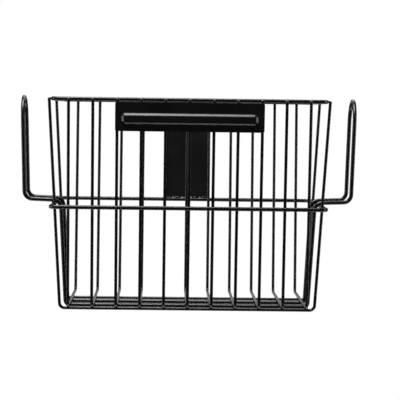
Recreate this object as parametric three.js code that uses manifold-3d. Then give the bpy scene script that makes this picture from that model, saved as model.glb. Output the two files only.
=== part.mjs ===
// Wire basket for a steering column, in millimetres.
// +Z is up, and +Y runs from the basket's front to the steering column.
// Left (-X) and right (+X) are as seen from the basket's front.
// The origin lies on the steering column's axis, halfway up the clamp that holds the basket.
import * as THREE from 'three';
import { mergeVertices } from 'three/addons/utils/BufferGeometryUtils.js';
import Module from 'manifold-3d';

const wasm = await Module();
wasm.setup();

// Gap left between pieces that are welded or rest on each other
const GAP = 0.3;

// How far a cut goes past the face that it opens
const CUT_PAST = 1;

// Basket body, measured between wire centres
const TOP_WIDTH = 325;
const BOTTOM_WIDTH = 299;
const TOP_DEPTH = 212;
const HEIGHT = 241;
const FRONT_LEAN = 18.5;
const REAR_LEAN = 21.5;

// Wire stock
const THIN_WIRE = 3.3;
const THICK_WIRE = 4.5;
const THIN_SIDES = 8;
const THICK_SIDES = 10;
const BEND_STEPS = 5;
const ARC_STEPS = 6;

// Rim and mid ring
const RING_ABOVE_FLOOR = 116;
const HOOP_CORNER_RADIUS = 8;
const WIRE_END_ABOVE_RIM = 1;

// Wires that run from front to back, and the two that run from side to side
const LONG_WIRE_COUNT = 11;
const LONG_WIRE_BEND = 5;
const LONG_WIRE_CLEARANCE = 2.3;
const SIDE_WIRE_BEND = 6;
const FRONT_SIDE_WIRE_INSET = 10;
const REAR_SIDE_WIRE_Y = 138;

// Carrying loops, one on each side
const LOOP_DROP = 0.8;
const LOOP_MIDDLE_Y = 89.5;
const LOOP_SPACING_BELOW = 41;
const LOOP_SPACING_ABOVE = 54;
const LOOP_LEG_INSET = 4.5;
const LOOP_REACH = 34.2;
const LOOP_ARM_RISE = 1.5;
const LOOP_FLARE = 3.3;
const LOOP_ABOVE_RIM = 2;
const LOOP_BENDS = { floor: 6, arm: 10, elbow: 9.5, hairpinFlat: 1 };

// Front plate, with a raised rib pressed along it
const FRONT_PLATE = { width: 172, height: 33.6, thickness: 1.5, corner: 2, belowRim: 2.8 };
const RIB = { length: 159, height: 14.6, corner: 5.5, rise: 3, round: 2.2, belowPlateMiddle: 2.3 };

// Hanger: a folded sleeve on the rear wires that drops over the bracket's tongue
const HANGER = { width: 57, sheet: 2, lip: 9.5, belowRim: 2, aboveRing: 1 };
const PAD = { width: 10, shorterThanTongue: 10, fromMiddle: 18 };

// Tongue plate of the bracket
const TONGUE = { thickness: 3, aboveSleeveEnd: 20, sideClearance: 0.5, ringClearance: 0.75, corner: 4 };

// Clamp on the steering column
const COLUMN_DIAMETER = 28.6;
const LINER_THICKNESS = 1;
const CLAMP = {
  height: 36, bossWidth: 30, behindLips: 1, shoulder: 3, frontWall: 8, sideWall: 2.1, rearWall: 3.4,
  ear: 8, earRim: 1, split: 3,
};

// Fasteners
const BOLT = { diameter: 5, head: 8.5, headHeight: 5, socket: 4, socketDepth: 2.5, endBeyondNut: 1.5 };
const NUT = { acrossFlats: 8, height: 4 };
const BOLT_RISE = 10;
const SCREW = { diameter: 5, head: 9.2, headHeight: 2.5, length: 9.5, spacing: 18 };
const ROUND_SEGMENTS = 24;

const COATED_WIRE = { color: 0x121214, roughness: 0.32, metalness: 0.1 };
const COATED_SHEET = { color: 0x101012, roughness: 0.38, metalness: 0.1 };
const COATED_CLAMP = { color: 0x17181a, roughness: 0.5, metalness: 0.2 };
const ZINC_STEEL = { color: 0xa9adb2, roughness: 0.35, metalness: 0.9 };
const RUBBER = { color: 0x1b1b1b, roughness: 0.9, metalness: 0 };
const NYLON = { color: 0x24262a, roughness: 0.6, metalness: 0 };

// Heights in the basket's own layout: z is 0 at the rim's centre line, y is 0 at the front wires' tops
const thin = THIN_WIRE / 2;
const thick = THICK_WIRE / 2;
const wireTop = WIRE_END_ABOVE_RIM;
const floorZ = -HEIGHT;
const ringZ = floorZ + RING_ABOVE_FLOOR;
const frontAngle = Math.atan(FRONT_LEAN / HEIGHT);
const rearAngle = Math.atan(REAR_LEAN / HEIGHT);
const sideAngle = Math.atan((TOP_WIDTH - BOTTOM_WIDTH) / 2 / HEIGHT);

const frontY = z => -z * Math.tan(frontAngle);
const rearY = z => TOP_DEPTH + z * Math.tan(rearAngle);
const sideX = z => TOP_WIDTH / 2 + z * Math.tan(sideAngle);

const object = new THREE.Group();
const basket = new THREE.Group();
const frontPanel = new THREE.Group();
const rearPanel = new THREE.Group();
object.add(basket);
basket.add(frontPanel, rearPanel);

// In a panel group z runs up the panel's wires and y is 0 at their centres
frontPanel.rotation.x = frontAngle;
rearPanel.rotation.x = -rearAngle;
rearPanel.position.y = TOP_DEPTH;

function addMesh(parent, name, geometry, finish) {
  const mesh = new THREE.Mesh(geometry, new THREE.MeshStandardMaterial(finish));
  mesh.name = name;
  parent.add(mesh);
  return mesh;
}

// A wire's centre line: straight runs with an arc at each corner, and one station at each end of a run
class WirePath extends THREE.Curve {
  constructor(corners, radii, closed = false) {
    super();
    this.stations = [];
    const count = corners.length;
    corners.forEach((corner, i) => {
      if (!closed && (i === 0 || i === count - 1)) {
        const [from, to] = i === 0 ? [corners[0], corners[1]] : [corners[i - 1], corners[i]];
        this.stations.push({ point: corner, tangent: to.clone().sub(from).normalize() });
        return;
      }
      const before = corners[(i + count - 1) % count];
      const after = corners[(i + 1) % count];
      this.addBend(before, corner, after, radii[closed ? i : i - 1]);
    });
    if (closed) this.stations.push(this.stations[0]);
  }

  addBend(before, corner, after, radius) {
    const into = corner.clone().sub(before).normalize();
    const out = after.clone().sub(corner).normalize();
    const turn = into.angleTo(out);
    const axis = into.clone().cross(out).normalize();
    const towardCentre = axis.clone().cross(into);
    const start = corner.clone().addScaledVector(into, -radius * Math.tan(turn / 2));
    const centre = start.clone().addScaledVector(towardCentre, radius);
    for (let step = 0; step <= BEND_STEPS; step++) {
      const angle = turn * step / BEND_STEPS;
      const spoke = start.clone().sub(centre).applyAxisAngle(axis, angle);
      this.stations.push({
        point: spoke.add(centre),
        tangent: into.clone().applyAxisAngle(axis, angle),
      });
    }
  }

  get steps() {
    return this.stations.length - 1;
  }

  getPointAt(u, target = new THREE.Vector3()) {
    return target.copy(this.stations[Math.round(u * this.steps)].point);
  }

  getPoint(u, target) {
    return this.getPointAt(u, target);
  }

  getTangentAt(u, target = new THREE.Vector3()) {
    return target.copy(this.stations[Math.round(u * this.steps)].tangent);
  }
}

// An open wire: a round section carried along its path, with flat ends
function openWire(path, radius, sides) {
  const section = new THREE.Shape();
  for (let i = 0; i < sides; i++) {
    const angle = 2 * Math.PI * i / sides;
    const point = [radius * Math.cos(angle), radius * Math.sin(angle)];
    if (i === 0) section.moveTo(...point);
    else section.lineTo(...point);
  }
  section.closePath();
  return new THREE.ExtrudeGeometry(section, { steps: path.steps, extrudePath: path, bevelEnabled: false });
}

// A closed hoop of round wire
function hoop(path, radius, sides) {
  return new THREE.TubeGeometry(path, path.steps, radius, sides, true);
}

const at = (x, y, z) => new THREE.Vector3(x, y, z);

function solidOf(geometry) {
  const plain = geometry.clone();
  plain.deleteAttribute('normal');
  plain.deleteAttribute('uv');
  const merged = mergeVertices(plain);
  const vertProperties = new Float32Array(merged.attributes.position.array);
  const triVerts = new Uint32Array(merged.index.array);
  return new wasm.Manifold(new wasm.Mesh({ numProp: 3, vertProperties, triVerts }));
}

function geometryOf(solid) {
  const mesh = solid.getMesh();
  const geometry = new THREE.BufferGeometry();
  geometry.setAttribute('position', new THREE.BufferAttribute(mesh.vertProperties, 3));
  geometry.setIndex(new THREE.BufferAttribute(mesh.triVerts, 1));
  geometry.computeVertexNormals();
  return geometry;
}

// A box given by its lowest and highest corner
function boxBetween(low, high) {
  const size = high.map((value, i) => value - low[i]);
  const box = new THREE.BoxGeometry(...size);
  return box.translate(...high.map((value, i) => (value + low[i]) / 2));
}

// The same outline as straight pieces, without the doubled points where its arcs meet its lines
function facetted(shape, arcSteps) {
  const distinct = path => {
    const points = path.getPoints(arcSteps);
    return points.filter((point, i) => point.distanceTo(points[(i + 1) % points.length]) > 1e-4);
  };
  const outline = new THREE.Shape(distinct(shape));
  outline.holes = shape.holes.map(hole => new THREE.Path(distinct(hole)));
  return outline;
}

// An outline in x and y raised along z from bottom to top
function raised(shape, bottom, top, arcSteps = ARC_STEPS) {
  const options = { depth: top - bottom, bevelEnabled: false };
  return new THREE.ExtrudeGeometry(facetted(shape, arcSteps), options).translate(0, 0, bottom);
}

// An outline in x and z that is thickened along y, from near to far
function plateAcross(shape, near, far, options = {}) {
  const settings = { depth: far - near, bevelEnabled: false, ...options };
  const geometry = new THREE.ExtrudeGeometry(facetted(shape, ARC_STEPS), settings);
  return geometry.rotateX(Math.PI / 2).translate(0, far, 0);
}

function roundedRectangle(width, bottom, top, radius) {
  const half = width / 2;
  const shape = new THREE.Shape();
  shape.moveTo(-half + radius, bottom);
  shape.lineTo(half - radius, bottom);
  shape.absarc(half - radius, bottom + radius, radius, -Math.PI / 2, 0);
  shape.lineTo(half, top - radius);
  shape.absarc(half - radius, top - radius, radius, 0, Math.PI / 2);
  shape.lineTo(-half + radius, top);
  shape.absarc(-half + radius, top - radius, radius, Math.PI / 2, Math.PI);
  shape.lineTo(-half, bottom + radius);
  shape.absarc(-half + radius, bottom + radius, radius, Math.PI, 1.5 * Math.PI);
  return shape;
}

// A rod or hole along y: a profile of [radius, y] pairs turned about the axis through x and z
function turnedAcross(profile, x, z) {
  const points = profile.map(([radius, y]) => new THREE.Vector2(radius, y));
  return new THREE.LatheGeometry(points, ROUND_SEGMENTS).translate(x, 0, z);
}

// Rim and mid ring: two thick hoops, the rim inside the thin wires and the ring outside them
function addHoops() {
  const stack = thin + thick + GAP;
  const corners = (halfWidth, front, rear, z) => [
    at(-halfWidth, front, z), at(halfWidth, front, z), at(halfWidth, rear, z), at(-halfWidth, rear, z),
  ];
  const radii = Array(4).fill(HOOP_CORNER_RADIUS);
  const inside = [frontAngle, rearAngle, sideAngle].map(angle => stack / Math.cos(angle));
  const rim = corners(sideX(0) - inside[2], frontY(0) + inside[0], rearY(0) - inside[1], 0);
  const ring = corners(sideX(ringZ) + inside[2], frontY(ringZ) - inside[0], rearY(ringZ) + inside[1], ringZ);
  addMesh(basket, 'top_rim', hoop(new WirePath(rim, radii, true), thick, THICK_SIDES), COATED_WIRE);
  addMesh(basket, 'mid_ring', hoop(new WirePath(ring, radii, true), thick, THICK_SIDES), COATED_WIRE);
}

// Eleven thin wires: down the front, along the floor and up the rear.
// The outermost two stay clear of the bends of the side wires that cross below them.
function addLongWires() {
  const outermost = sideX(floorZ) - SIDE_WIRE_BEND - thin - LONG_WIRE_CLEARANCE;
  const pitch = 2 * outermost / (LONG_WIRE_COUNT - 1);
  for (let i = 0; i < LONG_WIRE_COUNT; i++) {
    const x = -outermost + i * pitch;
    const path = new WirePath([
      at(x, frontY(wireTop), wireTop),
      at(x, frontY(floorZ), floorZ),
      at(x, rearY(floorZ), floorZ),
      at(x, rearY(wireTop), wireTop),
    ], [LONG_WIRE_BEND, LONG_WIRE_BEND]);
    const name = `long_wire_${String(i + 1).padStart(2, '0')}`;
    addMesh(basket, name, openWire(path, thin, THIN_SIDES), COATED_WIRE);
  }
}

// Two thin wires: down one side, under the floor wires and up the other side
function addSideWires() {
  const below = floorZ - THIN_WIRE - GAP;
  const wires = {
    front_side_wire: z => frontY(z) + FRONT_SIDE_WIRE_INSET,
    rear_side_wire: () => REAR_SIDE_WIRE_Y,
  };
  for (const [name, yAt] of Object.entries(wires)) {
    const path = new WirePath([
      at(-sideX(wireTop), yAt(wireTop), wireTop),
      at(-sideX(floorZ), yAt(floorZ), below),
      at(sideX(floorZ), yAt(floorZ), below),
      at(sideX(wireTop), yAt(wireTop), wireTop),
    ], [SIDE_WIRE_BEND, SIDE_WIRE_BEND]);
    addMesh(basket, name, openWire(path, thin, THIN_SIDES), COATED_WIRE);
  }
}

// Two thick wires, one for each side. Each runs out under the floor, up inside the side panel,
// over the mid ring, up to the height of the rim and back the same way.
function addCarryLoops() {
  const below = floorZ - thin - thick - LOOP_DROP;
  const armZ = ringZ + THICK_WIRE + GAP;
  const legBelow = sideX(floorZ) - LOOP_LEG_INSET;
  const legAbove = sideX(armZ) - LOOP_LEG_INSET;
  const elbow = sideX(ringZ) + LOOP_REACH + LOOP_LEG_INSET;
  const halfRun = side => [
    at(GAP / 2, LOOP_MIDDLE_Y + side * LOOP_SPACING_BELOW / 2, below),
    at(legBelow, LOOP_MIDDLE_Y + side * LOOP_SPACING_BELOW / 2, below),
    at(legAbove, LOOP_MIDDLE_Y + side * LOOP_SPACING_ABOVE / 2, armZ),
    at(elbow, LOOP_MIDDLE_Y + side * LOOP_SPACING_ABOVE / 2, armZ + LOOP_ARM_RISE),
    at(elbow + LOOP_FLARE, LOOP_MIDDLE_Y + side * LOOP_SPACING_ABOVE / 2, LOOP_ABOVE_RIM),
  ];
  const hairpin = (LOOP_SPACING_ABOVE - LOOP_BENDS.hairpinFlat) / 2;
  const bends = [LOOP_BENDS.floor, LOOP_BENDS.arm, LOOP_BENDS.elbow, hairpin];
  const radii = [...bends, ...bends.toReversed()];
  const corners = [...halfRun(-1), ...halfRun(1).reverse()];
  for (const [name, mirror] of [['left_carry_loop', -1], ['right_carry_loop', 1]]) {
    const path = new WirePath(corners.map(p => at(mirror * p.x, p.y, p.z)), radii);
    addMesh(basket, name, openWire(path, thick, THICK_SIDES), COATED_WIRE);
  }
}

// Pressed sheet across the front wires, just below the rim. Its rib is hollow behind.
function addFrontPlate() {
  const back = -thin - GAP;
  const front = back - FRONT_PLATE.thickness;
  const top = -FRONT_PLATE.belowRim;
  const bottom = top - FRONT_PLATE.height;
  const ribMiddle = (top + bottom) / 2 - RIB.belowPlateMiddle;
  const pill = inset => {
    const height = RIB.height - 2 * inset;
    const low = ribMiddle - height / 2;
    return roundedRectangle(RIB.length - 2 * inset, low, low + height, RIB.corner - inset);
  };
  const outline = roundedRectangle(FRONT_PLATE.width, bottom, top, FRONT_PLATE.corner);
  const sheet = plateAcross(outline, front, back);
  const bevel = {
    bevelEnabled: true, bevelThickness: RIB.round, bevelSize: RIB.round, bevelOffset: -RIB.round,
    bevelSegments: 3,
  };
  const rib = plateAcross(pill(0), front - RIB.rise + RIB.round, back - RIB.round, bevel);
  const hollowFront = front - RIB.rise + FRONT_PLATE.thickness;
  const hollow = plateAcross(pill(FRONT_PLATE.thickness + RIB.round), hollowFront, back + CUT_PAST);
  const plate = solidOf(sheet).add(solidOf(rib)).subtract(solidOf(hollow));
  addMesh(frontPanel, 'front_plate', geometryOf(plate), COATED_SHEET);
}

// Distances behind the rear wires' centres, from the wires to the steering column
const webFront = thin + GAP;
const webBack = webFront + HANGER.sheet;
const tongueFront = thin + GAP + THICK_WIRE + TONGUE.ringClearance;
const tongueBack = tongueFront + TONGUE.thickness;
const lipFront = tongueBack + TONGUE.sideClearance;
const lipBack = lipFront + HANGER.sheet;
const bossFront = tongueBack + GAP;
const boreRadius = COLUMN_DIAMETER / 2 + LINER_THICKNESS + GAP;
const columnY = bossFront + CLAMP.frontWall + boreRadius;

// Heights along the rear panel
const hangerTop = -HANGER.belowRim;
const hangerBottom = ringZ / Math.cos(rearAngle) + thick + GAP + HANGER.aboveRing;
const tongueTop = hangerTop - HANGER.sheet - GAP;
const tongueBottom = hangerBottom + TONGUE.aboveSleeveEnd;
const clampZ = (tongueTop + tongueBottom) / 2;

// Distances to the side of the column: the bore's thinnest wall, the bolts and the ears' ends
const cheek = boreRadius + CLAMP.sideWall;
const boltX = cheek + GAP + BOLT.head / 2;
const earEnd = boltX + BOLT.head / 2 + CLAMP.earRim;

// Folded sheet sleeve welded to the rear wires: a web, two flanges with lips, and a closed top
function addHanger() {
  const half = HANGER.width / 2;
  const inner = half - HANGER.sheet;
  const slot = inner - HANGER.lip;
  const section = new THREE.Shape([
    [-half, webFront], [half, webFront], [half, lipBack], [slot, lipBack], [slot, lipFront],
    [inner, lipFront], [inner, webBack], [-inner, webBack], [-inner, lipFront], [-slot, lipFront],
    [-slot, lipBack], [-half, lipBack],
  ].map(([x, y]) => new THREE.Vector2(x, y)));
  const sleeve = raised(section, hangerBottom, hangerTop);
  const lid = boxBetween([-half, webFront, hangerTop - HANGER.sheet], [half, lipBack, hangerTop]);
  addMesh(rearPanel, 'hanger_sleeve', geometryOf(solidOf(sleeve).add(solidOf(lid))), COATED_SHEET);

  const padTop = tongueTop - PAD.shorterThanTongue / 2;
  const padBottom = tongueBottom + PAD.shorterThanTongue / 2;
  for (const [name, side] of [['left_glide_pad', -1], ['right_glide_pad', 1]]) {
    const outline = roundedRectangle(PAD.width, padBottom, padTop, PAD.width / 2);
    const pad = plateAcross(outline, webBack + GAP, tongueFront - GAP);
    addMesh(rearPanel, name, pad.translate(side * PAD.fromMiddle, 0, 0), NYLON);
  }
}

// Heights of the two screws that fix the tongue to the clamp
const screwHeights = [clampZ - SCREW.spacing / 2, clampZ + SCREW.spacing / 2];

// Flat steel tongue that the sleeve drops over, with countersinks for its screws
function addTongue() {
  const width = HANGER.width - 2 * HANGER.sheet - 2 * TONGUE.sideClearance;
  const outline = roundedRectangle(width, tongueBottom, tongueTop, TONGUE.corner);
  let tongue = solidOf(plateAcross(outline, tongueFront, tongueBack));
  for (const z of screwHeights) tongue = tongue.subtract(solidOf(turnedAcross(screwHole(), 0, z)));
  addMesh(rearPanel, 'tongue_plate', geometryOf(tongue), COATED_CLAMP);
  screwHeights.forEach((z, i) => {
    addMesh(rearPanel, `tongue_screw_${i + 1}`, turnedAcross(screwProfile(), 0, z), ZINC_STEEL);
  });
}

// Countersunk screw with its head just under the tongue's face
function screwProfile() {
  const head = SCREW.head / 2;
  const shank = SCREW.diameter / 2;
  const face = tongueFront + GAP;
  const tip = tongueFront + SCREW.length;
  return [[0, face], [head, face], [shank, face + SCREW.headHeight], [shank, tip], [0, tip]];
}

// The hole for such a screw, wider by the gap and open at the tongue's face
function screwHole() {
  const head = SCREW.head / 2 + GAP;
  const shank = SCREW.diameter / 2 + GAP;
  const seat = tongueFront + GAP;
  const mouth = seat - CUT_PAST;
  const tip = tongueFront + SCREW.length + CUT_PAST;
  return [[0, mouth], [head, mouth], [head, seat], [shank, seat + SCREW.headHeight], [shank, tip], [0, tip]];
}

// Two clamp halves around the column, split across the middle and drawn together by four bolts
function addClamp() {
  const low = clampZ - CLAMP.height / 2;
  const high = clampZ + CLAMP.height / 2;
  const frontEdge = columnY - CLAMP.split / 2;
  const rearEdge = columnY + CLAMP.split / 2;
  const bossHalf = CLAMP.bossWidth / 2;
  const bore = solidOf(turnedUp(boreRadius, low - CUT_PAST, high + CUT_PAST));
  const neck = lipBack + CLAMP.behindLips;
  const shoulder = neck + CLAMP.shoulder;

  const frontShape = new THREE.Shape([
    [-bossHalf, bossFront], [bossHalf, bossFront], [bossHalf, neck], [cheek, shoulder],
    [cheek, frontEdge - CLAMP.ear], [earEnd, frontEdge - CLAMP.ear], [earEnd, frontEdge],
    [-earEnd, frontEdge], [-earEnd, frontEdge - CLAMP.ear], [-cheek, frontEdge - CLAMP.ear],
    [-cheek, shoulder], [-bossHalf, neck],
  ].map(([x, y]) => new THREE.Vector2(x, y)));
  let front = solidOf(raised(frontShape, low, high)).subtract(bore);

  const rearRadius = boreRadius + CLAMP.rearWall;
  const rearShape = new THREE.Shape();
  rearShape.moveTo(-earEnd, rearEdge);
  rearShape.lineTo(earEnd, rearEdge);
  rearShape.lineTo(earEnd, rearEdge + CLAMP.ear);
  rearShape.lineTo(cheek, rearEdge + CLAMP.ear);
  const start = Math.acos(cheek / rearRadius);
  rearShape.absarc(0, columnY, rearRadius, start, Math.PI - start);
  rearShape.lineTo(-cheek, rearEdge + CLAMP.ear);
  rearShape.lineTo(-earEnd, rearEdge + CLAMP.ear);
  let rear = solidOf(raised(rearShape, low, high, ROUND_SEGMENTS / 2)).subtract(bore);

  for (const z of screwHeights) front = front.subtract(solidOf(turnedAcross(screwHole(), 0, z)));
  for (const { x, z } of boltPlaces()) {
    const radius = BOLT.diameter / 2 + GAP;
    const end = rearEdge + CLAMP.ear + CUT_PAST;
    const profile = [[0, bossFront], [radius, bossFront], [radius, end], [0, end]];
    const hole = solidOf(turnedAcross(profile, x, z));
    front = front.subtract(hole);
    rear = rear.subtract(hole);
  }
  addMesh(rearPanel, 'clamp_front_half', geometryOf(front), COATED_CLAMP);
  addMesh(rearPanel, 'clamp_rear_half', geometryOf(rear), COATED_CLAMP);
}

// An upright round solid on the column's axis
function turnedUp(radius, bottom, top) {
  const solid = new THREE.CylinderGeometry(radius, radius, top - bottom, 2 * ROUND_SEGMENTS);
  return solid.rotateX(Math.PI / 2).translate(0, columnY, (top + bottom) / 2);
}

function boltPlaces() {
  const places = [];
  for (const [level, z] of [['lower', clampZ - BOLT_RISE], ['upper', clampZ + BOLT_RISE]]) {
    for (const [side, x] of [['left', -boltX], ['right', boltX]]) {
      places.push({ label: `${level}_${side}`, x, z });
    }
  }
  return places;
}

// Rubber liners between the clamp and the column, one half round in each clamp half
function addLiners() {
  const inner = COLUMN_DIAMETER / 2;
  const outer = inner + LINER_THICKNESS;
  const low = clampZ - CLAMP.height / 2;
  for (const [name, side] of [['front_liner', -1], ['rear_liner', 1]]) {
    const shape = new THREE.Shape();
    const lift = Math.asin(CLAMP.split / 2 / outer);
    shape.absarc(0, 0, outer, lift, Math.PI - lift);
    shape.absarc(0, 0, inner, Math.PI - lift, lift, true);
    const liner = raised(shape, low, low + CLAMP.height, ROUND_SEGMENTS);
    if (side < 0) liner.rotateZ(Math.PI);
    addMesh(rearPanel, name, liner.translate(0, columnY, 0), RUBBER);
  }
}

// Socket-head bolts put in from behind, with hexagon nuts in front of the front half's ears
function addBolts() {
  const headFace = columnY + CLAMP.split / 2 + CLAMP.ear + GAP;
  const nutFace = columnY - CLAMP.split / 2 - CLAMP.ear - GAP;
  const tip = nutFace - NUT.height - BOLT.endBeyondNut;
  for (const { label, x, z } of boltPlaces()) {
    const head = BOLT.head / 2;
    const shank = BOLT.diameter / 2;
    const top = headFace + BOLT.headHeight;
    const profile = [[0, tip], [shank, tip], [shank, headFace], [head, headFace], [head, top], [0, top]];
    const body = turnedAcross(profile, x, z);
    const socket = plateAcross(hexagon(BOLT.socket), top - BOLT.socketDepth, top + CUT_PAST);
    socket.translate(x, 0, z);
    const bolt = solidOf(body).subtract(solidOf(socket));
    addMesh(rearPanel, `clamp_bolt_${label}`, geometryOf(bolt), ZINC_STEEL);

    const nutShape = hexagon(NUT.acrossFlats);
    nutShape.holes.push(new THREE.Path().absarc(0, 0, BOLT.diameter / 2 + GAP, 0, 2 * Math.PI, true));
    const nut = plateAcross(nutShape, nutFace - NUT.height, nutFace).translate(x, 0, z);
    addMesh(rearPanel, `clamp_nut_${label}`, nut, ZINC_STEEL);
  }
}

function hexagon(acrossFlats) {
  const corner = acrossFlats / Math.sqrt(3);
  const points = [];
  for (let i = 0; i < 6; i++) {
    const angle = Math.PI / 6 + i * Math.PI / 3;
    points.push(new THREE.Vector2(corner * Math.cos(angle), corner * Math.sin(angle)));
  }
  return new THREE.Shape(points);
}

addHoops();
addLongWires();
addSideWires();
addCarryLoops();
addFrontPlate();
addHanger();
addTongue();
addClamp();
addLiners();
addBolts();

// Bring the column's axis at the clamp's middle to the origin
rearPanel.updateMatrix();
basket.position.copy(at(0, columnY, clampZ).applyMatrix4(rearPanel.matrix)).negate();

export default object;
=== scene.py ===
import math

import bmesh
import bpy
import numpy as np
from mathutils import Matrix, Vector


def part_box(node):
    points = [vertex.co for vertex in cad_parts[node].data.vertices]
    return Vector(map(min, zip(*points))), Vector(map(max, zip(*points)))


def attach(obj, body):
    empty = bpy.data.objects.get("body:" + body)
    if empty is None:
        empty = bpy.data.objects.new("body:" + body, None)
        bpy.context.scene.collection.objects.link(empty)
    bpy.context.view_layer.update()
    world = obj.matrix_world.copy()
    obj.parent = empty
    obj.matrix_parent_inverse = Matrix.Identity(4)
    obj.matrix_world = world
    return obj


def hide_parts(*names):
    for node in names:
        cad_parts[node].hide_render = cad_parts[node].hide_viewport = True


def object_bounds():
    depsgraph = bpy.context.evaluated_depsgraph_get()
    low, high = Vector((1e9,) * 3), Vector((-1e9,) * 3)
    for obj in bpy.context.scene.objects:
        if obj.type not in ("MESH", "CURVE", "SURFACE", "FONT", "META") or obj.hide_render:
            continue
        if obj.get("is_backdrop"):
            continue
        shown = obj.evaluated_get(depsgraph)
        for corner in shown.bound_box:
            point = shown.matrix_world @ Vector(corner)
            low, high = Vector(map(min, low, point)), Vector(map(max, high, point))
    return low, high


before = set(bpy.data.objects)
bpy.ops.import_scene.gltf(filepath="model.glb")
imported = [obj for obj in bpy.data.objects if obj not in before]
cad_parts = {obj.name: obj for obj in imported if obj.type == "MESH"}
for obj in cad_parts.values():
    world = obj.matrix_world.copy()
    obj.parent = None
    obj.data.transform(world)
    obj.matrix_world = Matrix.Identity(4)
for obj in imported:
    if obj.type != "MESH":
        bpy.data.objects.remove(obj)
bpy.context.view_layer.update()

# Rim and mid ring: two hoops of 4.5 mm steel wire, butt welded and dipped in black coating.
# The rim sits inside the thin wires at the mouth, the ring outside them halfway down.

THICK = 0.0045 / 2      # radius of the hoops' and loops' wire
THIN = 0.0033 / 2       # radius of the long and side wires
WELD_GAP = 0.0003       # between the steel of two wires that are welded together
COAT = 0.00015
HOOP_CORNER = 0.008
BEND_STEP = math.radians(6)
STRAIGHT_STEP = 0.004
WIRE_SIDES = 20
END_DOME = 0.7          # depth of the dome on a free end, in wire radii
END_DOME_STEPS = 6
END_TIP = 0.02          # radius of the dome's smallest circle, in wire radii


def node_box(node):
    """A node's lowest and highest corners, as arrays."""
    low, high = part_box(node)
    return np.array(low), np.array(high)


def span(start, end, step):
    """Points along a straight run, at equal steps no longer than the one given, without the last."""
    count = max(1, math.ceil(np.linalg.norm(end - start) / step))
    return start + (end - start) * np.arange(count)[:, None] / count


def bent_line(corners, radii, closed=False):
    """A wire's centre line: straight runs joined by arcs. An arc starts radius * tan(turn / 2) before its
    corner and turns about a centre one radius to the side of that start."""
    corners = np.array(corners, float)
    count = len(corners)
    runs = []
    here = corners[0]
    turning = range(count) if closed else range(1, count - 1)
    for corner, radius in zip(turning, radii):
        along = corners[corner] - corners[corner - 1]
        along /= np.linalg.norm(along)
        after = corners[(corner + 1) % count] - corners[corner]
        after /= np.linalg.norm(after)
        turn = math.acos(np.clip(along @ after, -1, 1))
        side = after - along * (along @ after)
        side /= np.linalg.norm(side)
        start = corners[corner] - along * radius * math.tan(turn / 2)
        steps = max(2, math.ceil(turn / BEND_STEP))
        angle = np.linspace(0, turn, steps + 1)[:, None]
        arc = start + radius * (side * (1 - np.cos(angle)) + along * np.sin(angle))
        if runs or not closed:
            runs.append(span(here, start, STRAIGHT_STEP))
        runs.append(arc[:-1])
        here = arc[-1]
    last = runs[0][0] if closed else corners[-1]
    runs.append(span(here, last, STRAIGHT_STEP))
    if not closed:
        runs.append(last[None])
    return np.concatenate(runs)


def grid_faces(rows, columns, wrap_rows, wrap_columns):
    """Quads between neighbouring points of a grid that is numbered row by row."""
    i = np.arange(rows if wrap_rows else rows - 1)[:, None]
    j = np.arange(columns if wrap_columns else columns - 1)[None, :]
    down = (i + 1) % rows
    right = (j + 1) % columns
    corners = (i * columns + j, down * columns + j, down * columns + right, i * columns + right)
    return np.stack(np.broadcast_arrays(*corners), axis=-1).reshape(-1, 4)


def new_piece(name, points, faces, smooth=True):
    """A mesh object from an array of points and a list of faces."""
    mesh = bpy.data.meshes.new(name)
    mesh.from_pydata(points.reshape(-1, 3).tolist(), [], faces)
    mesh.polygons.foreach_set("use_smooth", np.full(len(mesh.polygons), smooth))
    mesh.validate()
    piece = bpy.data.objects.new(name, mesh)
    bpy.context.collection.objects.link(piece)
    return piece


def wire(name, line, radius, closed=False):
    """A round wire: at each point of its line, a circle across the line's tangent. Near a free end the
    circle's radius follows a quarter ellipse, r = R * sqrt(1 - (1 - s / dome)^2), so the end is domed."""
    if closed:
        tangent = np.roll(line, -1, axis=0) - np.roll(line, 1, axis=0)
        size = np.full(len(line), radius)
    else:
        dome = radius * END_DOME
        depth = dome * (1 - np.cos(np.linspace(0, math.pi / 2, END_DOME_STEPS)))
        ends = []
        for end, inward in ((line[0], line[1] - line[0]), (line[-1], line[-2] - line[-1])):
            ends.append(end + depth[:, None] * inward / np.linalg.norm(inward))
        line = np.concatenate([ends[0], line[1:-1], ends[1][::-1]])
        rounding = radius * np.sqrt(np.clip(1 - (1 - depth / dome) ** 2, END_TIP ** 2, 1))
        size = np.concatenate([rounding, np.full(len(line) - 2 * len(depth), radius), rounding[::-1]])
        tangent = np.gradient(line, axis=0)
    tangent /= np.linalg.norm(tangent, axis=1)[:, None]
    # No run or bend of these wires points equally along all three axes, so this always gives a normal
    normal = np.cross(tangent, np.ones(3))
    normal /= np.linalg.norm(normal, axis=1)[:, None]
    binormal = np.cross(tangent, normal)
    angle = np.linspace(0, 2 * math.pi, WIRE_SIDES, endpoint=False)[None, :, None]
    circle = normal[:, None] * np.cos(angle) + binormal[:, None] * np.sin(angle)
    points = line[:, None] + circle * size[:, None, None]
    faces = grid_faces(len(line), WIRE_SIDES, closed, True)[:, ::-1].tolist()
    if not closed:
        ring = list(range(WIRE_SIDES))
        faces += [ring, [len(line) * WIRE_SIDES - 1 - i for i in ring]]
    return new_piece(name, points, faces)


class Field:
    """A shader socket that adds a Math node for each operation written on it."""

    def __init__(self, finish, socket):
        self.finish = finish
        self.socket = socket

    def calculate(self, operation, other):
        return self.finish.node("Math", {"operation": operation}, {0: self, 1: other})

    def __add__(self, other):
        return self.calculate("ADD", other)

    def __mul__(self, other):
        return self.calculate("MULTIPLY", other)

    __radd__ = __add__
    __rmul__ = __mul__


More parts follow.
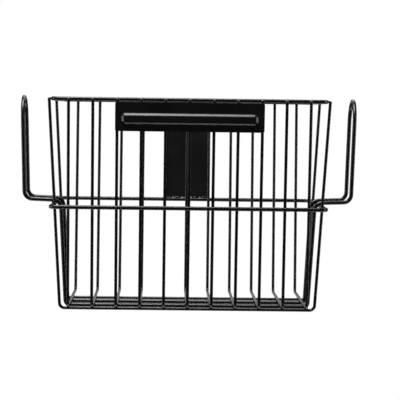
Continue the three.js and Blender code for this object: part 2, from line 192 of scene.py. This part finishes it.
class Finish:
    """A material with one Principled shader. Every other node comes from the method node."""

    def __init__(self, name, values):
        self.material = bpy.data.materials.new(name)
        self.material.use_nodes = True
        self.tree = self.material.node_tree
        self.shader = self.tree.nodes["Principled BSDF"]
        self.fill(self.shader, values)
        self.place = self.node("TexCoord", {}, {}, "Object")

    def fill(self, node, values):
        """Gives a node's sockets their numbers, colours or links."""
        for socket, value in values.items():
            if isinstance(value, Field):
                self.tree.links.new(value.socket, node.inputs[socket])
            else:
                node.inputs[socket].default_value = value

    def node(self, kind, settings, values, output=0):
        made = self.tree.nodes.new("ShaderNode" + kind)
        for setting, value in settings.items():
            setattr(made, setting, value)
        self.fill(made, values)
        return Field(self, made.outputs[output])

    def noise(self, scale, detail, roughness=0.5, place=None):
        values = {"Vector": place or self.place, "Scale": scale, "Detail": detail, "Roughness": roughness}
        return self.node("TexNoise", {}, values, "Fac")

    def band(self, field, low, high):
        """A smooth step from 0 to 1 as the field goes from low to high."""
        settings = {"interpolation_type": "SMOOTHSTEP", "clamp": True}
        return self.node("MapRange", settings, {"Value": field, "From Min": low, "From Max": high})

    def blend(self, factor, colour_a, colour_b):
        """The colour inputs of a Mix node are its sockets 6 and 7, and its colour output is number 2."""
        return self.node("Mix", {"data_type": "RGBA"}, {"Factor": factor, 6: colour_a, 7: colour_b}, 2)

    def bump(self, height, distance):
        return self.node("Bump", {}, {"Strength": 1.0, "Distance": distance, "Height": height}, "Normal")

    def feed(self, values):
        self.fill(self.shader, values)
        return self.material


COATING_IOR = 1.45
BLOTCH_SCALE = 28.0
BLOTCH_BAND = (0.35, 0.7)
PEEL_SCALE = 900.0
GRAIN_SCALE = 4200.0
GRAIN_HEIGHT = 0.25     # of the orange peel's height
MARK_STRETCH = (60.0, 75.0, 22.0)
MARK_SCALE = 5.0
MARK_BAND = (0.62, 0.74)
MARK_STRENGTH = 0.35
MARK_COLOUR = (0.09, 0.09, 0.092, 1)
BLOTCH_DULLING = 0.08
GRAIN_DULLING = 0.05
MARK_DULLING = 0.16


def black_coating(name, deep, faded, roughness, peel_height):
    """Baked black coating: orange peel about 1 mm across, finer grain in it, softly uneven gloss,
    and a few dull handling marks that are a touch paler."""
    finish = Finish(name, {"IOR": COATING_IOR})
    blotches = finish.noise(BLOTCH_SCALE, 3.0)
    peel = finish.noise(PEEL_SCALE, 2.0)
    grain = finish.noise(GRAIN_SCALE, 1.0)
    stretched = finish.node("Mapping", {}, {"Vector": finish.place, "Scale": MARK_STRETCH})
    marks = finish.band(finish.noise(MARK_SCALE, 6.0, 0.7, stretched), *MARK_BAND)
    colour = finish.blend(finish.band(blotches, *BLOTCH_BAND), deep, faded)
    dulling = blotches * BLOTCH_DULLING + grain * GRAIN_DULLING + marks * MARK_DULLING
    return finish.feed({
        "Base Color": finish.blend(marks * MARK_STRENGTH, colour, MARK_COLOUR),
        "Roughness": roughness + dulling,
        "Normal": finish.bump(peel + grain * GRAIN_HEIGHT, peel_height)})


def coat(piece, material, slot, body, *nodes):
    """Gives a piece its material and its body, and hides the CAD nodes that it stands for. The slot is not
    used.
    """
    piece.data.materials.clear()
    piece.data.materials.append(material)
    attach(piece, body)
    if nodes:
        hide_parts(*nodes)
    return piece


wire_black = black_coating(
    "black_wire_coating", (0.0015, 0.0015, 0.0018, 1), (0.0035, 0.0035, 0.004, 1), 0.24, 0.000012)

rim_low, rim_high = node_box("top_rim")
ring_low, ring_high = node_box("mid_ring")


def hoop_line(low, high):
    """A rectangle with round corners, one wire radius inside its box."""
    left, front = low[:2] + THICK
    right, rear = high[:2] - THICK
    z = (low[2] + high[2]) / 2
    corners = [(left, front, z), (right, front, z), (right, rear, z), (left, rear, z)]
    return bent_line(corners, [HOOP_CORNER] * 4, closed=True)


for hoop, low, high in (("top_rim", rim_low, rim_high), ("mid_ring", ring_low, ring_high)):
    made = wire(hoop + "_wire", hoop_line(low, high), THICK + COAT, closed=True)
    coat(made, wire_black, "wire_coating", "basket", hoop)

# Long wires: eleven 3.3 mm wires, each bent in two places, down the front, along the floor and up the rear.
# They are spot welded to the outside of the rim and to the inside of the ring, and lean in towards the floor.

LONG_BEND = 0.005
STACK = THIN + THICK + WELD_GAP     # between the centres of a thin and a thick wire where they cross

rim_z = (rim_low[2] + rim_high[2]) / 2
ring_z = (ring_low[2] + ring_high[2]) / 2
front_at_rim = rim_low[1] + THICK - STACK
rear_at_rim = rim_high[1] - THICK + STACK
front_slope = (ring_low[1] + THICK + STACK - front_at_rim) / (rim_z - ring_z)
rear_slope = (rear_at_rim - ring_high[1] + THICK + STACK) / (rim_z - ring_z)

long_names = sorted(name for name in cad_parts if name.startswith("long_wire"))
long_boxes = [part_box(name) for name in long_names]
long_x = np.array([(low[0] + high[0]) / 2 for low, high in long_boxes])
floor_z = long_boxes[0][0][2] + THIN
wire_top = long_boxes[0][1][2]


def front_y(z):
    return front_at_rim + (rim_z - z) * front_slope


def rear_y(z):
    return rear_at_rim - (rim_z - z) * rear_slope


for name, x in zip(long_names, long_x):
    line = bent_line([
        (x, front_y(wire_top), wire_top),
        (x, front_y(floor_z), floor_z),
        (x, rear_y(floor_z), floor_z),
        (x, rear_y(wire_top), wire_top)], [LONG_BEND] * 2)
    coat(wire(name + "_bent", line, THIN + COAT), wire_black, "wire_coating", "basket", name)

# Side wires: two more 3.3 mm wires that cross under the floor and come up the two sides.
# The front one leans with the front wires, the rear one stands upright.

SIDE_BEND = 0.006

side_low, side_high = node_box("rear_side_wire")
side_floor_z = side_low[2] + THIN
rear_side_y = (side_low[1] + side_high[1]) / 2
side_at_rim = (rim_high[0] - rim_low[0]) / 2 - THICK + STACK
side_at_ring = (ring_high[0] - ring_low[0]) / 2 - THICK - STACK
side_slope = (side_at_rim - side_at_ring) / (rim_z - ring_z)
front_side_inset = node_box("front_side_wire")[0][1] + THIN - front_y(wire_top)


def side_x(z):
    return side_at_rim - (rim_z - z) * side_slope


def front_side_y(z):
    return front_y(z) + front_side_inset


side_wires = (
    ("front_side_wire", front_side_y(floor_z), front_side_y(wire_top)),
    ("rear_side_wire", rear_side_y, rear_side_y))
for name, foot_y, head_y in side_wires:
    foot = (side_x(floor_z), foot_y, side_floor_z)
    head = (side_x(wire_top), head_y, wire_top)
    mirrored = [(-x, y, z) for x, y, z in (head, foot)]
    line = bent_line(mirrored + [foot, head], [SIDE_BEND] * 2)
    coat(wire(name + "_bent", line, THIN + COAT), wire_black, "wire_coating", "basket", name)

# Carrying loops: two 4.5 mm wires, one for each side, whose tails run under the floor and meet in the middle.
# Each comes up inside the side, bends out over the ring and rises in a hairpin as high as the rim.

TAIL_SPACING = 0.041
LEG_INSET = 0.0045
LOOP_REACH = 0.0342
ARM_RISE = 0.0015
LOOP_FLARE = 0.0033
HAIRPIN_FLAT = 0.001
FLOOR_BEND = 0.006
ARM_BEND = 0.010
ELBOW_BEND = 0.0095

loop_low, loop_high = node_box("right_carry_loop")
loop_middle = (loop_low[1] + loop_high[1]) / 2
loop_spacing = loop_high[1] - loop_low[1] - 2 * THICK
loop_floor_z = loop_low[2] + THICK
loop_top_z = loop_high[2] - THICK
arm_z = ring_z + 2 * THICK + WELD_GAP
loop_elbow = side_x(ring_z) + LOOP_REACH + LEG_INSET


def loop_half(side):
    """The corners of a loop's front (-1) or rear (1) half, from its tail to its top."""
    tail_y = loop_middle + side * TAIL_SPACING / 2
    arm_y = loop_middle + side * loop_spacing / 2
    return [
        (WELD_GAP / 2, tail_y, loop_floor_z),
        (side_x(floor_z) - LEG_INSET, tail_y, loop_floor_z),
        (side_x(arm_z) - LEG_INSET, arm_y, arm_z),
        (loop_elbow, arm_y, arm_z + ARM_RISE),
        (loop_elbow + LOOP_FLARE, arm_y, loop_top_z),
    ]


hairpin_bend = (loop_spacing - HAIRPIN_FLAT) / 2
loop_bends = [FLOOR_BEND, ARM_BEND, ELBOW_BEND, hairpin_bend]
loop_corners = np.array(loop_half(-1) + loop_half(1)[::-1])
for name, mirror in (("left_carry_loop", -1), ("right_carry_loop", 1)):
    line = bent_line(loop_corners * (mirror, 1, 1), loop_bends + loop_bends[::-1])
    coat(wire(name + "_bent", line, THICK + COAT), wire_black, "wire_coating", "basket", name)

# Spot welds: where two wires cross, a little metal is squeezed out and the coating fills the corner round it.
# Each is a flat bead across the crossing, and the beads of one kind are one mesh.

BEAD_ROWS = 7
BEAD_COLUMNS = 12
BEAD_POLE = 0.02        # how far, in radians, the first and last rows stay from the poles
TAIL_BEAD_RISE = 0.0002

# Half of a bead's width, depth and height
FRONT_BEAD = (0.0021, 0.0012, 0.0017)
SIDE_BEAD = (0.0012, 0.0021, 0.0017)
FLOOR_BEAD = (0.0019, 0.0019, 0.0011)
TAIL_BEAD = (0.002, 0.002, 0.0013)
ARM_BEAD = (0.0024, 0.0024, 0.0014)
BUTT_BEAD = (0.0016, 0.0026, 0.0026)


def beads(name, centres, half_sizes):
    """Flattened spheres, one for every centre: centre + half sizes * (cos a sin b, sin a sin b, cos b)."""
    turn = np.linspace(0, 2 * math.pi, BEAD_COLUMNS, endpoint=False)[None, :]
    tilt = np.linspace(BEAD_POLE, math.pi - BEAD_POLE, BEAD_ROWS)[:, None]
    ball = np.stack(np.broadcast_arrays(
        np.cos(turn) * np.sin(tilt), np.sin(turn) * np.sin(tilt), np.cos(tilt)), axis=-1).reshape(-1, 3)
    points = np.array(centres, float)[:, None] + ball[None] * np.array(half_sizes)
    one = grid_faces(BEAD_ROWS, BEAD_COLUMNS, False, True).tolist()
    one += [list(range(BEAD_COLUMNS))[::-1], [len(ball) - BEAD_COLUMNS + i for i in range(BEAD_COLUMNS)]]
    faces = [[corner + bead * len(ball) for corner in face] for bead in range(len(centres)) for face in one]
    coat(new_piece(name, points, faces), wire_black, "wire_coating", "basket")


def crossings(xs, ys, z):
    """Points at one height, one for each pair of an x and a y."""
    return [(x, y, z) for x in xs for y in ys]


beads("rim_welds", crossings(long_x, (front_at_rim + THIN, rear_at_rim - THIN), rim_z), FRONT_BEAD)
beads("ring_welds", crossings(long_x, (front_y(ring_z) - THIN, rear_y(ring_z) + THIN), ring_z), FRONT_BEAD)
side_crossings = (
    (side_at_rim - THIN, front_side_y(rim_z), rim_z),
    (side_at_rim - THIN, rear_side_y, rim_z),
    (side_at_ring + THIN, front_side_y(ring_z), ring_z),
    (side_at_ring + THIN, rear_side_y, ring_z))
beads("side_welds", [(side * x, y, z) for x, y, z in side_crossings for side in (-1, 1)], SIDE_BEAD)
side_ys = (front_side_y(floor_z), rear_side_y)
beads("floor_welds", crossings(long_x, side_ys, (floor_z + side_floor_z) / 2), FLOOR_BEAD)
tail_ys = [loop_middle + side * TAIL_SPACING / 2 for side in (-1, 1)]
beads("tail_welds", crossings(long_x, tail_ys, (floor_z + loop_floor_z) / 2 + TAIL_BEAD_RISE), TAIL_BEAD)
arm_ys = [loop_middle + side * loop_spacing / 2 for side in (-1, 1)]
ring_side = (ring_high[0] - ring_low[0]) / 2 - THICK
beads("arm_welds", crossings((-ring_side, ring_side), arm_ys, (ring_z + arm_z) / 2), ARM_BEAD)
beads("butt_welds", crossings((0,), tail_ys, loop_floor_z), BUTT_BEAD)

# Front plate: 1.5 mm sheet spot welded across the front wires just under the rim, with one long rib pressed
# outwards in it. The sheet has small round corners and softened edges.

SHEET = 0.0015
PLATE_HEIGHT = 0.0336
PLATE_BELOW_RIM = 0.0028
PLATE_CORNER = 0.002
PLATE_EDGE = 0.0006
PLATE_SHARP_FROM = math.radians(60)
RIB_LENGTH = 0.159
RIB_HEIGHT = 0.0146
RIB_CORNER = 0.0055
RIB_RISE = 0.003
RIB_SLOPE = 0.0042
RIB_BELOW_MIDDLE = 0.0023
RIB_END = 1.6           # where the closer columns at a rib's end begin, in corner radii from that end
CORNER_ROWS = 8
PLATE_ROWS = 76
RIB_COLUMNS = 60
END_COLUMNS = 44
PLATE_BEAD = (0.002, 0.0009, 0.0026)
PLATE_BEAD_INSET = 0.0035


def rounded_distance(x, z, width, height, radius):
    """Signed distance to a rectangle with round corners, negative inside."""
    out_x = np.abs(x) - width / 2 + radius
    out_z = np.abs(z) - height / 2 + radius
    outside = np.hypot(np.maximum(out_x, 0), np.maximum(out_z, 0))
    return outside + np.minimum(np.maximum(out_x, out_z), 0) - radius


def pressed_plate(width):
    """A sheet on a grid of width and height whose rows shorten as a circle does near the corners. The rib
    rises as a smooth step of the distance inside its outline: rise * s * s * (3 - 2 s)."""
    edge = PLATE_CORNER * (1 - np.cos(np.linspace(0, math.pi / 2, CORNER_ROWS)))
    middle = np.linspace(PLATE_CORNER, PLATE_HEIGHT - PLATE_CORNER, PLATE_ROWS)
    z = np.concatenate([edge[:-1], middle, PLATE_HEIGHT - edge[-2::-1]]) - PLATE_HEIGHT / 2
    near_end = RIB_LENGTH / 2 - RIB_CORNER * RIB_END
    half = np.concatenate([
        np.linspace(0, near_end, RIB_COLUMNS)[:-1], np.linspace(near_end, width / 2, END_COLUMNS)])
    u = np.concatenate([-half[:0:-1], half]) / (width / 2)
    from_end = PLATE_HEIGHT / 2 - np.abs(z)
    into_corner = np.maximum(PLATE_CORNER - from_end, 0)
    shortening = PLATE_CORNER - np.sqrt(np.clip(PLATE_CORNER ** 2 - into_corner ** 2, 0, None))
    x = u[None, :] * (width / 2 - shortening)[:, None]
    z = np.broadcast_to(z[:, None], x.shape)
    inside = -rounded_distance(x, z + RIB_BELOW_MIDDLE, RIB_LENGTH, RIB_HEIGHT, RIB_CORNER)
    step = np.clip(inside / RIB_SLOPE, 0, 1)
    return x, RIB_RISE * step * step * (3 - 2 * step), z


plate_low, plate_high = node_box("front_plate")
plate_x, plate_rise, plate_up = pressed_plate(plate_high[0] - plate_low[0])
front_tilt = math.atan(front_slope)
outwards = -THIN - WELD_GAP - SHEET - plate_rise
upwards = plate_up - PLATE_BELOW_RIM - PLATE_HEIGHT / 2
plate_points = np.stack([
    plate_x,
    front_at_rim + outwards * math.cos(front_tilt) - upwards * math.sin(front_tilt),
    rim_z + outwards * math.sin(front_tilt) + upwards * math.cos(front_tilt)], axis=-1)
plate_faces = grid_faces(*plate_x.shape, False, False)[:, ::-1].tolist()
plate = new_piece("front_plate_pressed", plate_points, plate_faces)
thicken = plate.modifiers.new("sheet", "SOLIDIFY")
thicken.thickness = SHEET
thicken.offset = -1
soften = plate.modifiers.new("edges", "BEVEL")
soften.width = PLATE_EDGE
soften.segments = 3
soften.limit_method = "ANGLE"
soften.angle_limit = PLATE_SHARP_FROM
sheet_black = black_coating(
    "black_sheet_coating", (0.0068, 0.0064, 0.0068, 1), (0.011, 0.0104, 0.011, 1), 0.27, 0.00003)
coat(plate, sheet_black, "sheet_coating", "basket", "front_plate")

behind_plate = long_x[np.abs(long_x) < plate_high[0]]
bead_heights = (plate_low[2] + PLATE_BEAD_INSET, plate_high[2] - PLATE_BEAD_INSET)
beads("plate_welds", [(x, front_y(z) - THIN, z) for x in behind_plate for z in bead_heights], PLATE_BEAD)

# Hanger, bracket and clamp: folded 2 mm sheet, a 3 mm tongue and two cast halves, all coated black.
# They keep their exact shape, and only their sharp edges are broken, as deburring and coating do.

JOIN_WITHIN = 0.000002
FLAT_WITHIN = math.radians(0.5)
SHARP_FROM = math.radians(32)
SHEET_BREAK = 0.0005
TONGUE_BREAK = 0.0004
CASTING_BREAK = 0.0006


def broken_edges(node, width, segments=2):
    """A copy of a CAD node with its corner points joined, its flat faces made whole and its edges rounded."""
    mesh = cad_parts[node].data.copy()
    mesh.name = node + "_finished"
    piece = bpy.data.objects.new(node + "_finished", mesh)
    bpy.context.collection.objects.link(piece)
    shape = bmesh.new()
    shape.from_mesh(mesh)
    bmesh.ops.remove_doubles(shape, verts=shape.verts, dist=JOIN_WITHIN)
    bmesh.ops.dissolve_limit(shape, angle_limit=FLAT_WITHIN, verts=shape.verts, edges=shape.edges)
    for face in shape.faces:
        face.smooth = True
    for edge in shape.edges:
        edge.smooth = edge.calc_face_angle(0.0) < SHARP_FROM
    shape.to_mesh(mesh)
    shape.free()
    rounding = piece.modifiers.new("broken_edges", "BEVEL")
    rounding.width = width
    rounding.segments = segments
    rounding.limit_method = "ANGLE"
    rounding.angle_limit = SHARP_FROM
    rounding.harden_normals = True
    return piece


bracket_black = black_coating(
    "black_bracket_coating", (0.013, 0.013, 0.014, 1), (0.020, 0.020, 0.022, 1), 0.36, 0.00009)
coat(broken_edges("hanger_sleeve", SHEET_BREAK), sheet_black, "sheet_coating", "basket", "hanger_sleeve")
coat(broken_edges("tongue_plate", TONGUE_BREAK), bracket_black, "bracket_coating", "bracket", "tongue_plate")
for half in ("clamp_front_half", "clamp_rear_half"):
    coat(broken_edges(half, CASTING_BREAK, 3), bracket_black, "bracket_coating", "bracket", half)

# Sleeve welds: spots up the wires that the sleeve's face lies on, and short runs that join its foot to the
# ring. They are coated with the rest.

SPOTS_UP_SLEEVE = 4
SPOT_FROM_END = 0.008
SPOT_BEAD = (0.002, 0.0009, 0.0028)
FOOT_RUNS = 5
FOOT_GAP = 0.0013
FOOT_BEAD = (0.0056, 0.0013, 0.00105)

sleeve_low, sleeve_high = node_box("hanger_sleeve")
behind_sleeve = long_x[np.abs(long_x) < sleeve_high[0]]
spot_heights = np.linspace(sleeve_low[2] + SPOT_FROM_END, sleeve_high[2] - SPOT_FROM_END, SPOTS_UP_SLEEVE)
beads("sleeve_welds", [(x, rear_y(z) + THIN, z) for x in behind_sleeve for z in spot_heights], SPOT_BEAD)

foot_x = np.linspace(sleeve_low[0] + FOOT_BEAD[0], sleeve_high[0] - FOOT_BEAD[0], FOOT_RUNS)
foot_z = ring_z + THICK + FOOT_GAP / 2
foot_y = rear_y(foot_z) + THIN + WELD_GAP + THICK / 2
beads("sleeve_foot_welds", crossings(foot_x, (foot_y,), foot_z), FOOT_BEAD)

# Glide pads and liners: black nylon strips glued in the sleeve, and two half rounds of black rubber that
# grip the column inside the clamp.

POLYMER_IOR = 1.5
DULL_SCALE = 90.0
DULL_BAND = (0.35, 0.7)
DULL_PALER = 1.7
DULLING = 0.12
PAD_BREAK = 0.0004
LINER_BREAK = 0.0002


def soft_black(name, colour, roughness, grain_size, grain_height):
    """Moulded polymer: fine even grain and slightly blotchy dullness."""
    finish = Finish(name, {"IOR": POLYMER_IOR})
    grain = finish.noise(1 / grain_size, 2.0)
    blotches = finish.noise(DULL_SCALE, 3.0)
    paler = tuple(DULL_PALER * part for part in colour)
    return finish.feed({
        "Base Color": finish.blend(finish.band(blotches, *DULL_BAND), colour + (1,), paler + (1,)),
        "Roughness": roughness + blotches * DULLING,
        "Normal": finish.bump(grain, grain_height)})


nylon = soft_black("black_nylon", (0.016, 0.016, 0.018), 0.45, 0.0009, 0.00004)
rubber = soft_black("black_rubber", (0.011, 0.011, 0.011), 0.72, 0.0006, 0.00008)
for pad in ("left_glide_pad", "right_glide_pad"):
    coat(broken_edges(pad, PAD_BREAK), nylon, "pad_nylon", "basket", pad)
for liner in ("front_liner", "rear_liner"):
    coat(broken_edges(liner, LINER_BREAK), rubber, "liner_rubber", "bracket", liner)

# Fasteners: four zinc plated socket-head bolts with hexagon nuts that close the clamp, and two countersunk
# screws that hold the tongue.

ZINC_BREAK = 0.00025
ZINC_GREY = (0.52, 0.54, 0.57, 1)
ZINC_YELLOW = (0.6, 0.58, 0.52, 1)
ZINC_ROUGHNESS = 0.24
PATCH_SCALE = 160.0
PATCH_BAND = (0.4, 0.65)
PATCH_DULLING = 0.08
CRYSTAL_SCALE = 2600.0
CRYSTAL_HEIGHT = 0.00002
CRYSTAL_DULLING = 0.12


def zinc_plate(name):
    """Bright zinc: pale blue-grey metal with faint yellow patches and fine uneven brightness."""
    finish = Finish(name, {"Metallic": 1.0})
    patches = finish.noise(PATCH_SCALE, 3.0)
    crystals = finish.noise(CRYSTAL_SCALE, 2.0)
    return finish.feed({
        "Base Color": finish.blend(finish.band(patches, *PATCH_BAND), ZINC_GREY, ZINC_YELLOW),
        "Roughness": ZINC_ROUGHNESS + crystals * CRYSTAL_DULLING + patches * PATCH_DULLING,
        "Normal": finish.bump(crystals, CRYSTAL_HEIGHT)})


zinc = zinc_plate("zinc_plate")
for node in sorted(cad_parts):
    if node.startswith(("clamp_bolt", "clamp_nut", "tongue_screw")):
        coat(broken_edges(node, ZINC_BREAK), zinc, "zinc_steel", "bracket", node)

# Studio: a round pale floor that glows a little and throws no light back on to the black wires. Soft lights
# stand above, behind, below and at both sides, and the backdrop is white.

FLOOR_DROP = 0.31
FLOOR_RADIUS = 0.85
FLOOR_SIDES = 96
FLOOR_GREY = (0.26, 0.26, 0.26, 1)
FLOOR_GLOW = 0.58
FLOOR_ROUGHNESS = 0.9
WHITE = (1, 1, 1, 1)
SURROUND = 0.07         # strength of the white all round, as a light
BACKDROP = 1.0          # and where the camera sees it

# Each light's offset from the basket's middle, its width and height in metres, and its power in watts
LIGHTS = {
    "top_light": ((-0.35, -0.2, 1.5), 1.0, 1.0, 50),
    "back_light": ((0.2, 1.4, 1.1), 1.4, 0.4, 8),
    "low_back_light": ((0, 1.6, -0.05), 0.8, 0.5, 1),
    "left_light": ((-1.6, -0.1, 0.1), 0.2, 1.1, 10),
    "right_light": ((1.6, -0.1, 0.1), 0.2, 1.1, 9),
    "under_light": ((0, 0.11, -1.5), 3.0, 0.25, 24),
}

box_low, box_high = (Vector(corner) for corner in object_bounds())
turns = np.linspace(0, 2 * math.pi, FLOOR_SIDES, endpoint=False)
floor_points = np.stack([
    FLOOR_RADIUS * np.cos(turns),
    FLOOR_RADIUS * np.sin(turns),
    np.full(FLOOR_SIDES, box_low.z - FLOOR_DROP)], axis=-1)
floor = new_piece("floor", floor_points, [list(range(FLOOR_SIDES))], smooth=False)
paper = Finish("pale_paper", {
    "Base Color": FLOOR_GREY,
    "Roughness": FLOOR_ROUGHNESS,
    "Emission Color": WHITE,
    "Emission Strength": FLOOR_GLOW})
floor.data.materials.append(paper.material)
floor.visible_glossy = False
floor.visible_diffuse = False
floor.visible_shadow = False
floor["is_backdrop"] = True

for name, (offset, width, height, power) in LIGHTS.items():
    lamp = bpy.data.lights.new(name, "AREA")
    lamp.shape = "RECTANGLE"
    lamp.size = width
    lamp.size_y = height
    lamp.energy = power
    light = bpy.data.objects.new(name, lamp)
    light.location = (box_low + box_high) / 2 + Vector(offset)
    light.rotation_euler = (-Vector(offset)).to_track_quat("-Z", "Y").to_euler()
    light.visible_camera = False
    bpy.context.collection.objects.link(light)

world = bpy.data.worlds.new("studio")
bpy.context.scene.world = world
world.use_nodes = True
world_nodes = world.node_tree.nodes
world_links = world.node_tree.links
surround = world_nodes["Background"]
surround.inputs["Color"].default_value = WHITE
surround.inputs["Strength"].default_value = SURROUND
backdrop = world_nodes.new("ShaderNodeBackground")
backdrop.inputs["Color"].default_value = WHITE
backdrop.inputs["Strength"].default_value = BACKDROP
seen = world_nodes.new("ShaderNodeLightPath")
either = world_nodes.new("ShaderNodeMixShader")
world_links.new(seen.outputs["Is Camera Ray"], either.inputs["Fac"])
world_links.new(surround.outputs["Background"], either.inputs[1])
world_links.new(backdrop.outputs["Background"], either.inputs[2])
world_links.new(either.outputs["Shader"], world_nodes["World Output"].inputs["Surface"])
bpy.context.scene.view_settings.view_transform = "Standard"

# Camera: in front of the basket, a little to its left and just below the rim, with a long lens.
# Its three small turns are in radians.

SENSOR = 36.0
LENS = 146.3
STAND_OFF = 1.870
CAMERA_LEFT = 0.0297
CAMERA_BELOW_RIM = 0.0136
YAW = 0.0227
PITCH = -0.054
ROLL = 0.0133

forward = Vector((math.sin(YAW) * math.cos(PITCH), math.cos(YAW) * math.cos(PITCH), math.sin(PITCH)))
level = Vector((math.cos(YAW), -math.sin(YAW), 0))
upright = level.cross(forward)
right = level * math.cos(ROLL) + upright * math.sin(ROLL)
up = upright * math.cos(ROLL) - level * math.sin(ROLL)
camera_data = bpy.data.cameras.new("camera")
camera_data.sensor_width = SENSOR
camera_data.lens = LENS
camera = bpy.data.objects.new("camera", camera_data)
place = Vector((-CAMERA_LEFT, front_at_rim - STAND_OFF, rim_z - CAMERA_BELOW_RIM))
turn = Matrix((right, up, -forward)).transposed().to_4x4()
camera.matrix_world = Matrix.Translation(place) @ turn
bpy.context.collection.objects.link(camera)
bpy.context.scene.camera = camera
